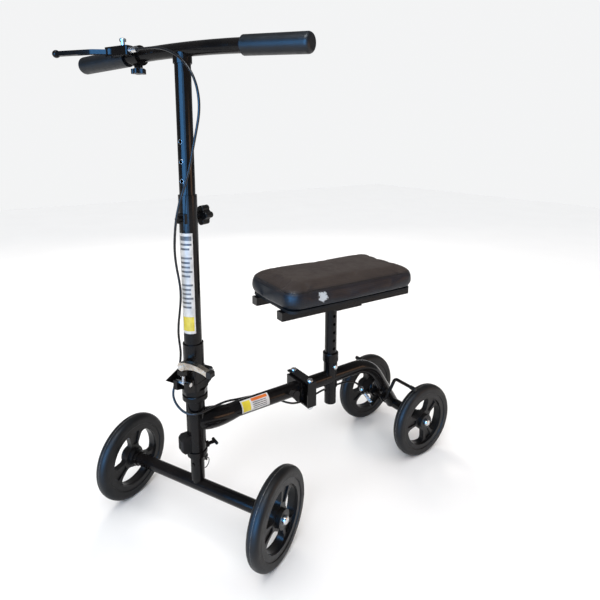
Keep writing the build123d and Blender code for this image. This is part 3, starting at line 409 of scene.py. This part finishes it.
def vinyl():
    """Black vinyl with rows of pin holes and a worn-through patch, with painted light: a lighter warm top, a
    painted bluish reflection on the sides, and painted shade in the holes.
    """
    material, tree, shader, place = new_material("pad_vinyl")
    lit_top_mask = tree.nodes.new("ShaderNodeAttribute")
    lit_top_mask.attribute_name = "top"
    uneven = ranged(tree, noise_node(tree, place, 16), 0.35, 0.65, 0, 1)
    # painted light: the up-facing top is painted lighter and warmer, as if lit by warm light, and the sides
    # darker with a painted bluish window reflection
    top = mixed(tree, uneven, (0.039, 0.029, 0.025), (0.052, 0.040, 0.034))
    flank_with_blue_reflection = mixed(tree, uneven, (0.004, 0.006, 0.011), (0.008, 0.012, 0.020))
    colour = mixed(tree, lit_top_mask.outputs["Fac"], flank_with_blue_reflection, top)
    uv = tree.nodes.new("ShaderNodeUVMap").outputs["UV"]
    holes = tree.nodes.new("ShaderNodeTexVoronoi")
    holes.voronoi_dimensions = "2D"
    holes.inputs["Scale"].default_value = 230
    holes.inputs["Randomness"].default_value = 0
    wire(tree, uv, holes.inputs["Vector"])
    # painted shade: the pin holes are painted near black for the shade inside them, more strongly on the
    # sides than on the lit top
    rim = ranged(tree, holes.outputs["Distance"], 0.2, 0.33, 0, 1)
    deep = ranged(tree, lit_top_mask.outputs["Fac"], 0, 1, 0.95, 0.4)
    colour = mixed(tree, deep, colour, mixed(tree, rim, (0.001, 0.001, 0.001), colour))
    grain = tree.nodes.new("ShaderNodeTexVoronoi")
    grain.inputs["Scale"].default_value = 700
    wire(tree, place, grain.inputs["Vector"])
    # worn patch on the rider's left, low near the front
    ragged = noise_node(tree, place, 90, 6, 0.7)
    shift = tree.nodes.new("ShaderNodeVectorMath")
    shift.operation = "SUBTRACT"
    wire(tree, place, shift.inputs[0])
    shift.inputs[1].default_value = tuple(at(105, 274, 514))
    size = tree.nodes.new("ShaderNodeVectorMath")
    size.operation = "LENGTH"
    wire(tree, shift.outputs["Vector"], size.inputs[0])
    total = tree.nodes.new("ShaderNodeMath")
    total.operation = "MULTIPLY_ADD"
    wire(tree, ragged, total.inputs[0])
    total.inputs[1].default_value = 0.026
    wire(tree, size.outputs["Value"], total.inputs[2])
    worn = ranged(tree, total.outputs["Value"], 0.0265, 0.0272, 1, 0)
    flecks = ranged(tree, noise_node(tree, place, 130, 3, 0.6), 0.745, 0.755, 0, 1)
    near = ranged(tree, size.outputs["Value"], 0.03, 0.06, 1, 0)
    fleck = tree.nodes.new("ShaderNodeMath")
    fleck.operation = "MULTIPLY"
    wire(tree, flecks, fleck.inputs[0])
    wire(tree, near, fleck.inputs[1])
    both = tree.nodes.new("ShaderNodeMath")
    both.operation = "MAXIMUM"
    wire(tree, worn, both.inputs[0])
    wire(tree, fleck.outputs["Value"], both.inputs[1])
    colour = mixed(tree, both.outputs["Value"], colour, (0.46, 0.52, 0.58))
    wire(tree, colour, shader.inputs["Base Color"])
    wire(tree, ranged(tree, noise_node(tree, place, 45, 5), 0.3, 0.7, 0.36, 0.5), shader.inputs["Roughness"])
    shader.inputs["Specular IOR Level"].default_value = 0.3
    bumped(tree, shader, [(grain.outputs["Distance"], 0.12, 0.0003), (rim, 0.35, 0.0006)])
    return material


def make_pad():
    middle, half_x, half_y, height = pad_size()
    profile = [(0.022, 0), (0.014, 0.0018), (0.0085, 0.0072), (0.0058, 0.0155), (0.0054, 0.026),
               (0.0066, 0.0345), (0.0098, 0.0418), (0.0152, 0.0474), (0.023, 0.0512), (0.035, 0.0535),
               (0.055, 0.0545)]     # inset from the CAD outline, and height
    rings = [rounded_ring(half_x - inset, half_y - inset, max(0.006, 0.036 - inset * 0.5), z)
             for inset, z in profile]
    pad = rings_mesh("knee_pad_cushion", rings)
    for other in bpy.context.selected_objects:
        other.select_set(False)
    bpy.context.view_layer.objects.active = pad
    pad.select_set(True)
    remesh = pad.modifiers.new("remesh", "REMESH")
    remesh.mode = "VOXEL"
    remesh.voxel_size = 0.005
    bpy.ops.object.modifier_apply(modifier=remesh.name)
    before = [v.co.copy() for v in pad.data.vertices]
    group = pad.vertex_groups.new(name="held")
    group.add([v.index for v in pad.data.vertices if v.co.z < 0.004], 1, "REPLACE")
    cloth = pad.modifiers.new("cloth", "CLOTH")
    cloth.settings.use_pressure = True
    cloth.settings.uniform_pressure_force = 2.5
    cloth.settings.vertex_group_mass = "held"
    cloth.settings.effector_weights.gravity = 0
    for frame_number in range(1, 21):
        bpy.context.scene.frame_set(frame_number)
    bpy.ops.object.modifier_apply(modifier=cloth.name)
    bpy.context.scene.frame_set(1)
    for v, old in zip(pad.data.vertices, before):
        move = v.co - old
        if move.length > PAD_SWELL:
            v.co = old + move.normalized() * PAD_SWELL
    subdivide = pad.modifiers.new("smooth", "SUBSURF")
    subdivide.levels = 1
    bpy.ops.object.modifier_apply(modifier=subdivide.name)
    pad.data.shade_smooth()
    for v in pad.data.vertices:
        v.co.x = min(max(v.co.x, -half_x), half_x)
        v.co.y = min(max(v.co.y, -half_y), half_y)
        v.co.z = min(max(v.co.z, 0), height + PAD_CROWN)
    layer = pad.data.uv_layers.new(name="UVMap")
    # how far the skin faces up; the vinyl uses it to paint the lighter, warmer lit top
    shade = pad.data.attributes.new("top", "FLOAT", "POINT")
    for v in pad.data.vertices:
        shade.data[v.index].value = min(1, max(0, (v.normal.z - 0.35) / 0.45))
    for polygon in pad.data.polygons:
        flat = abs(polygon.normal.z) > 0.72
        for loop in polygon.loop_indices:
            spot = pad.data.vertices[pad.data.loops[loop].vertex_index].co
            if flat:
                layer.data[loop].uv = (spot.x, spot.y)
            else:
                layer.data[loop].uv = (perimeter(spot.x, spot.y, half_x, half_y), spot.z)
    pad.data.transform(Matrix.Translation(middle) @ Matrix.Rotation(PAD_TURN, 4, "Z"))
    return pad, middle


pad, pad_middle = make_pad()
finish_piece(pad, vinyl(), "seat")
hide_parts("knee_pad")


def pad_edge(height, proud, count=160):
    """Points round the pad's skin at a height, found by casting rays inwards."""
    points = []
    for k in range(count):
        a = 2 * math.pi * k / count
        toward = Vector((math.cos(a), math.sin(a), 0))
        start = pad_middle + Vector((0, 0, height)) + toward * 0.4
        hit, spot, *_ = pad.ray_cast(start, -toward)
        if hit:
            points.append(spot + toward * proud)
    return points


seam = tube_piece("pad_seam", pad_edge(0.0405, -0.0004), 0.0012, 8, True)
finish_piece(seam, SURFACES["cable_housing"], "seat")

# ---- stickers ----
column_foot = turned(0, 0, 0)
COLUMN_RADIUS, TUBE_RADIUS = 0.019, 0.018


def column_sticker(name, material, lift, a0, a1, z0, z1):
    patch = arc_patch(name, column_foot, up, -turned_y, COLUMN_RADIUS + lift,
                      math.radians(a0), math.radians(a1), z0, z1)
    return finish_piece(patch, material, "column")


column_sticker("column_sticker", STICKER, 0.0002, -32, 62, 0.462, 0.676)
for row in range(15):
    top = 0.655 - row * 0.0095
    if row in (2, 8):
        continue
    column_sticker("column_bar_%d" % row, STICKER_GREY, 0.0003, -24, 40 if row % 3 else 54, top - 0.0042, top)
column_sticker("column_patch", STICKER_YELLOW, 0.0003, -24, 54, 0.468, 0.499)
column_sticker("column_head_bar", STICKER_GREY, 0.0003, -24, 54, 0.661, 0.670)

tube_axis = at(0, 0, 248)


def tube_sticker(name, material, lift, a0, a1, y0, y1):
    patch = arc_patch(name, tube_axis, Vector((0, 1, 0)), up, TUBE_RADIUS + lift,
                      math.radians(a0), math.radians(a1), y0, y1)
    return finish_piece(patch, material, "frame_front")


tube_sticker("tube_sticker", STICKER, 0.0002, 12, 112, 0.105, 0.178)
tube_sticker("tube_orange_bar", STICKER_ORANGE, 0.0003, 18, 42, 0.132, 0.174)
tube_sticker("tube_yellow_patch", STICKER_YELLOW, 0.0003, 24, 104, 0.108, 0.128)
for row in range(4):
    tube_sticker("tube_bar_%d" % row, STICKER_GREY, 0.0003, 50 + row * 14, 56 + row * 14, 0.134, 0.170)

# ---- floor and light ----
floor = mesh_object("floor", [(-6, -6, 0), (6, -6, 0), (6, 6, 0), (-6, 6, 0)], [(0, 1, 2, 3)], False)
ground, tree, shader, place = new_material("floor")
pale = mixed(tree, noise_node(tree, place, 3), (0.86, 0.86, 0.86), (0.9, 0.9, 0.9))
wire(tree, pale, shader.inputs["Base Color"])
shader.inputs["Roughness"].default_value = 0.9
floor.data.materials.append(ground)

world = bpy.data.worlds.new("world")
bpy.context.scene.world = world
world.use_nodes = True
sky = world.node_tree
ambient = sky.nodes["Background"]
ambient.inputs["Color"].default_value = (0.95, 0.97, 1, 1)
ambient.inputs["Strength"].default_value = 0.22
backdrop = sky.nodes.new("ShaderNodeBackground")
backdrop.inputs["Color"].default_value = (0.9, 0.905, 0.91, 1)
seen = sky.nodes.new("ShaderNodeMixShader")
wire(sky, sky.nodes.new("ShaderNodeLightPath").outputs["Is Camera Ray"], seen.inputs[0])
wire(sky, ambient.outputs[0], seen.inputs[1])
wire(sky, backdrop.outputs[0], seen.inputs[2])
wire(sky, seen.outputs[0], sky.nodes["World Output"].inputs["Surface"])


def light(name, kind, spot, aim, power, size, colour=(1, 1, 1), diffuse=True, glossy=True):
    lamp = bpy.data.lights.new(name, kind)
    lamp.energy = power
    lamp.color = colour
    if kind == "AREA":
        lamp.shape = "RECTANGLE"
        lamp.size, lamp.size_y = size
    else:
        lamp.angle = size
    holder = bpy.data.objects.new(name, lamp)
    holder.location = spot
    holder.rotation_euler = (Vector(aim) - Vector(spot)).to_track_quat("-Z", "Y").to_euler()
    holder.visible_diffuse = diffuse
    holder.visible_glossy = glossy
    bpy.context.collection.objects.link(holder)


AIM = (0, 0, 0.5)
AT_COLUMN = (0, -0.25, 0.85)
light("day", "SUN", (0.6, -0.8, 3), (0, 0, 0), 2.75, math.radians(80), glossy=False)
light("window", "AREA", (1.07, -2.4, 0.95), AT_COLUMN, 155, (2.0, 1.5), (0.12, 0.45, 1), False)
light("far_window", "AREA", (2.09, -1.44, 0.95), AT_COLUMN, 45, (1.3, 1.5), (0.12, 0.45, 1), False)
light("overhead", "AREA", (0.9, -0.9, 2.6), AIM, 45, (1.3, 0.4), (0.9, 0.96, 1), False)
light("key", "AREA", (1.6, -2.0, 2.2), AIM, 20, (0.9, 0.9), (0.9, 0.95, 1), glossy=False)
light("warm", "AREA", (2.0, 1.6, 0.7), AIM, 9, (1.2, 0.6), (1, 0.55, 0.3))
light("behind", "AREA", (-2.2, 1.0, 1.9), AIM, 30, (1.2, 0.8), (1, 0.93, 0.86), glossy=False)
